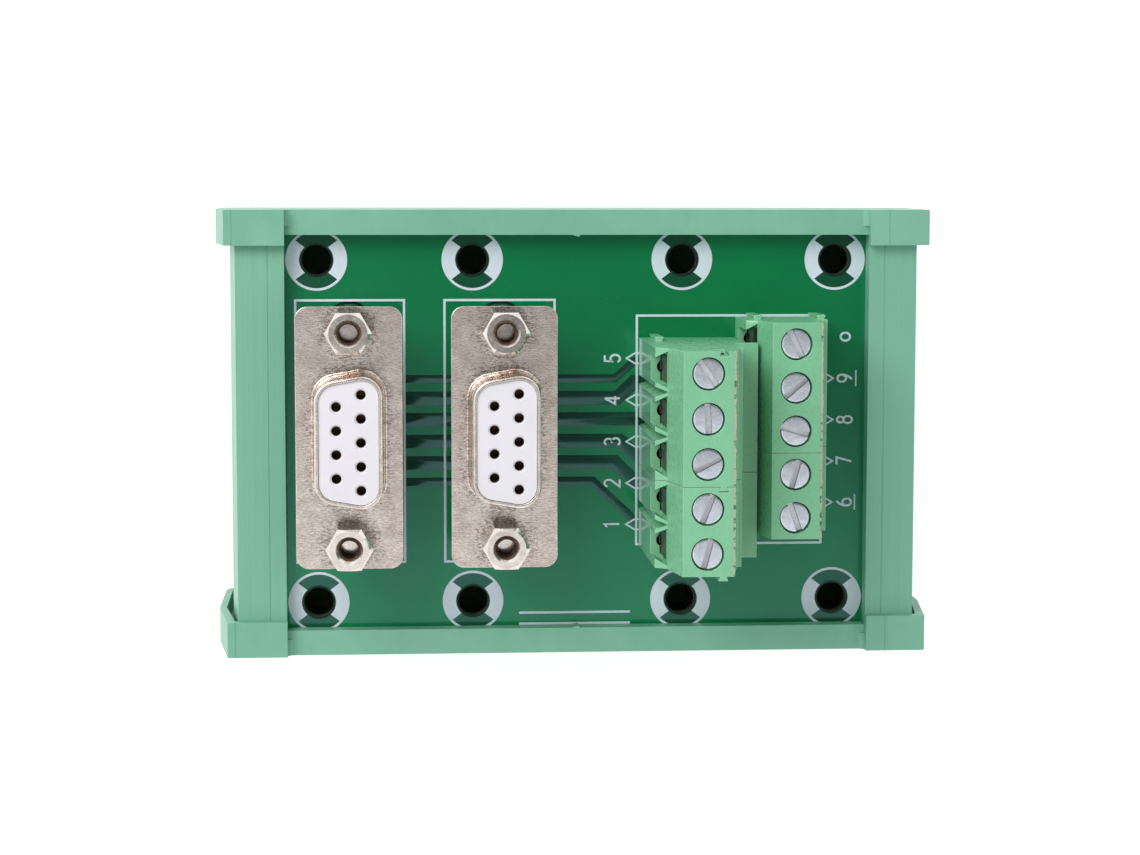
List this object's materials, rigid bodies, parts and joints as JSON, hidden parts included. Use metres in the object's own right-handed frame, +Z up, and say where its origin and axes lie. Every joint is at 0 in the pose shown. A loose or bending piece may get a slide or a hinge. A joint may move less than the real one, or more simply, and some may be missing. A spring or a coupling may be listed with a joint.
{
  "type": "d-sub terminal block adapter",
  "caption": "Rail-mount adapter: sockets on a board wired to two levels of screw terminals, in an extruded carrier with end covers.",
  "frame": {"origin": "under the middle of the carrier, on the plane of the rail hooks' lower ends", "axes": "+X across the carrier from the sockets to the terminals, +Y along the mounting rail, +Z up from the rail through the board"},
  "size_m": [0.0878, 0.0536, 0.0611],
  "materials": {
    "profile_plastic": "satin extruded",
    "cover_plastic": "satin moulded",
    "foot_plastic": "matte moulded",
    "latch_plastic": "matte moulded",
    "solder_mask": "glossy lacquer",
    "tinned_shell": "tinned, mottled",
    "socket_plastic": "satin moulded",
    "contact_metal": "tinned",
    "nickel_nuts": "nickel plated",
    "terminal_plastic": "satin moulded",
    "zinc_screws": "bright zinc plated",
    "cage_metal": "nickel plated"
  },
  "bodies": {
    "adapter": {"carrier_profile": "profile_plastic", "end_cover_back": "cover_plastic", "rail_foot_back": "foot_plastic", "end_cover_front": "cover_plastic", "rail_foot_front": "foot_plastic", "circuit_board": "solder_mask", "left_front_shell": "tinned_shell", "left_rear_shell": "tinned_shell", "left_socket_insert": "socket_plastic", "left_rear_insert": "socket_plastic", "left_contacts": "contact_metal", "left_jack_screws": "nickel_nuts", "left_standoffs": "nickel_nuts", "right_front_shell": "tinned_shell", "right_rear_shell": "tinned_shell", "right_socket_insert": "socket_plastic", "right_rear_insert": "socket_plastic", "right_contacts": "contact_metal", "right_jack_screws": "nickel_nuts", "right_standoffs": "nickel_nuts", "upper_housing_a": "terminal_plastic", "upper_strips_a": "contact_metal", "upper_housing_b": "terminal_plastic", "upper_strips_b": "contact_metal", "lower_housing_a": "terminal_plastic", "lower_strips_a": "contact_metal", "lower_housing_b": "terminal_plastic", "lower_strips_b": "contact_metal"},
    "back_latch": {"foot_latch_back": "latch_plastic"},
    "front_latch": {"foot_latch_front": "latch_plastic"},
    "screw_5": {"clamp_screw_5": "zinc_screws"},
    "cage_5": {"clamp_cage_5": "cage_metal"},
    "screw_4": {"clamp_screw_4": "zinc_screws"},
    "cage_4": {"clamp_cage_4": "cage_metal"},
    "screw_3": {"clamp_screw_3": "zinc_screws"},
    "cage_3": {"clamp_cage_3": "cage_metal"},
    "screw_2": {"clamp_screw_2": "zinc_screws"},
    "cage_2": {"clamp_cage_2": "cage_metal"},
    "screw_1": {"clamp_screw_1": "zinc_screws"},
    "cage_1": {"clamp_cage_1": "cage_metal"},
    "screw_s": {"clamp_screw_s": "zinc_screws"},
    "cage_s": {"clamp_cage_s": "cage_metal"},
    "screw_9": {"clamp_screw_9": "zinc_screws"},
    "cage_9": {"clamp_cage_9": "cage_metal"},
    "screw_8": {"clamp_screw_8": "zinc_screws"},
    "cage_8": {"clamp_cage_8": "cage_metal"},
    "screw_7": {"clamp_screw_7": "zinc_screws"},
    "cage_7": {"clamp_cage_7": "cage_metal"},
    "screw_6": {"clamp_screw_6": "zinc_screws"},
    "cage_6": {"clamp_cage_6": "cage_metal"}
  },
  "joints": [
    {"name": "back_latch_pull", "type": "slide", "parent": "adapter", "child": "back_latch", "axis": [1, 0, 0], "range_m": [0, 0.0026], "stiffness_N_per_m": 3000, "springref_m": -0.001},
    {"name": "front_latch_pull", "type": "slide", "parent": "adapter", "child": "front_latch", "axis": [1, 0, 0], "range_m": [0, 0.0026], "stiffness_N_per_m": 3000, "springref_m": -0.001},
    {"name": "screw_5_turn", "type": "hinge", "parent": "adapter", "child": "screw_5", "pos_m": [0.01271, 0.00879, 0.0608], "axis": [0, 0, 1], "range_deg": [-1730, 0]},
    {"name": "cage_5_lift", "type": "slide", "parent": "adapter", "child": "cage_5", "axis": [0, 0, 1], "range_m": [0, 0.0024]},
    {"name": "screw_4_turn", "type": "hinge", "parent": "adapter", "child": "screw_4", "pos_m": [0.01271, 0.00371, 0.0608], "axis": [0, 0, 1], "range_deg": [-1730, 0]},
    {"name": "cage_4_lift", "type": "slide", "parent": "adapter", "child": "cage_4", "axis": [0, 0, 1], "range_m": [0, 0.0024]},
    {"name": "screw_3_turn", "type": "hinge", "parent": "adapter", "child": "screw_3", "pos_m": [0.01271, -0.00137, 0.0608], "axis": [0, 0, 1], "range_deg": [-1730, 0]},
    {"name": "cage_3_lift", "type": "slide", "parent": "adapter", "child": "cage_3", "axis": [0, 0, 1], "range_m": [0, 0.0024]},
    {"name": "screw_2_turn", "type": "hinge", "parent": "adapter", "child": "screw_2", "pos_m": [0.01271, -0.00645, 0.0608], "axis": [0, 0, 1], "range_deg": [-1730, 0]},
    {"name": "cage_2_lift", "type": "slide", "parent": "adapter", "child": "cage_2", "axis": [0, 0, 1], "range_m": [0, 0.0024]},
    {"name": "screw_1_turn", "type": "hinge", "parent": "adapter", "child": "screw_1", "pos_m": [0.01271, -0.01153, 0.0608], "axis": [0, 0, 1], "range_deg": [-1730, 0]},
    {"name": "cage_1_lift", "type": "slide", "parent": "adapter", "child": "cage_1", "axis": [0, 0, 1], "range_m": [0, 0.0024]},
    {"name": "screw_s_turn", "type": "hinge", "parent": "adapter", "child": "screw_s", "pos_m": [0.02449, 0.01133, 0.049], "axis": [0, 0, 1], "range_deg": [-1730, 0]},
    {"name": "cage_s_lift", "type": "slide", "parent": "adapter", "child": "cage_s", "axis": [0, 0, 1], "range_m": [0, 0.0024]},
    {"name": "screw_9_turn", "type": "hinge", "parent": "adapter", "child": "screw_9", "pos_m": [0.02449, 0.00625, 0.049], "axis": [0, 0, 1], "range_deg": [-1730, 0]},
    {"name": "cage_9_lift", "type": "slide", "parent": "adapter", "child": "cage_9", "axis": [0, 0, 1], "range_m": [0, 0.0024]},
    {"name": "screw_8_turn", "type": "hinge", "parent": "adapter", "child": "screw_8", "pos_m": [0.02449, 0.00117, 0.049], "axis": [0, 0, 1], "range_deg": [-1730, 0]},
    {"name": "cage_8_lift", "type": "slide", "parent": "adapter", "child": "cage_8", "axis": [0, 0, 1], "range_m": [0, 0.0024]},
    {"name": "screw_7_turn", "type": "hinge", "parent": "adapter", "child": "screw_7", "pos_m": [0.02449, -0.00391, 0.049], "axis": [0, 0, 1], "range_deg": [-1730, 0]},
    {"name": "cage_7_lift", "type": "slide", "parent": "adapter", "child": "cage_7", "axis": [0, 0, 1], "range_m": [0, 0.0024]},
    {"name": "screw_6_turn", "type": "hinge", "parent": "adapter", "child": "screw_6", "pos_m": [0.02449, -0.00899, 0.049], "axis": [0, 0, 1], "range_deg": [-1730, 0]},
    {"name": "cage_6_lift", "type": "slide", "parent": "adapter", "child": "cage_6", "axis": [0, 0, 1], "range_m": [0, 0.0024]}
  ],
  "couplings": [
    {"joint": "screw_5_turn", "follows": "cage_5_lift", "rad_per_m": -12566},
    {"joint": "screw_4_turn", "follows": "cage_4_lift", "rad_per_m": -12566},
    {"joint": "screw_3_turn", "follows": "cage_3_lift", "rad_per_m": -12566},
    {"joint": "screw_2_turn", "follows": "cage_2_lift", "rad_per_m": -12566},
    {"joint": "screw_1_turn", "follows": "cage_1_lift", "rad_per_m": -12566},
    {"joint": "screw_s_turn", "follows": "cage_s_lift", "rad_per_m": -12566},
    {"joint": "screw_9_turn", "follows": "cage_9_lift", "rad_per_m": -12566},
    {"joint": "screw_8_turn", "follows": "cage_8_lift", "rad_per_m": -12566},
    {"joint": "screw_7_turn", "follows": "cage_7_lift", "rad_per_m": -12566},
    {"joint": "screw_6_turn", "follows": "cage_6_lift", "rad_per_m": -12566}
  ]
}
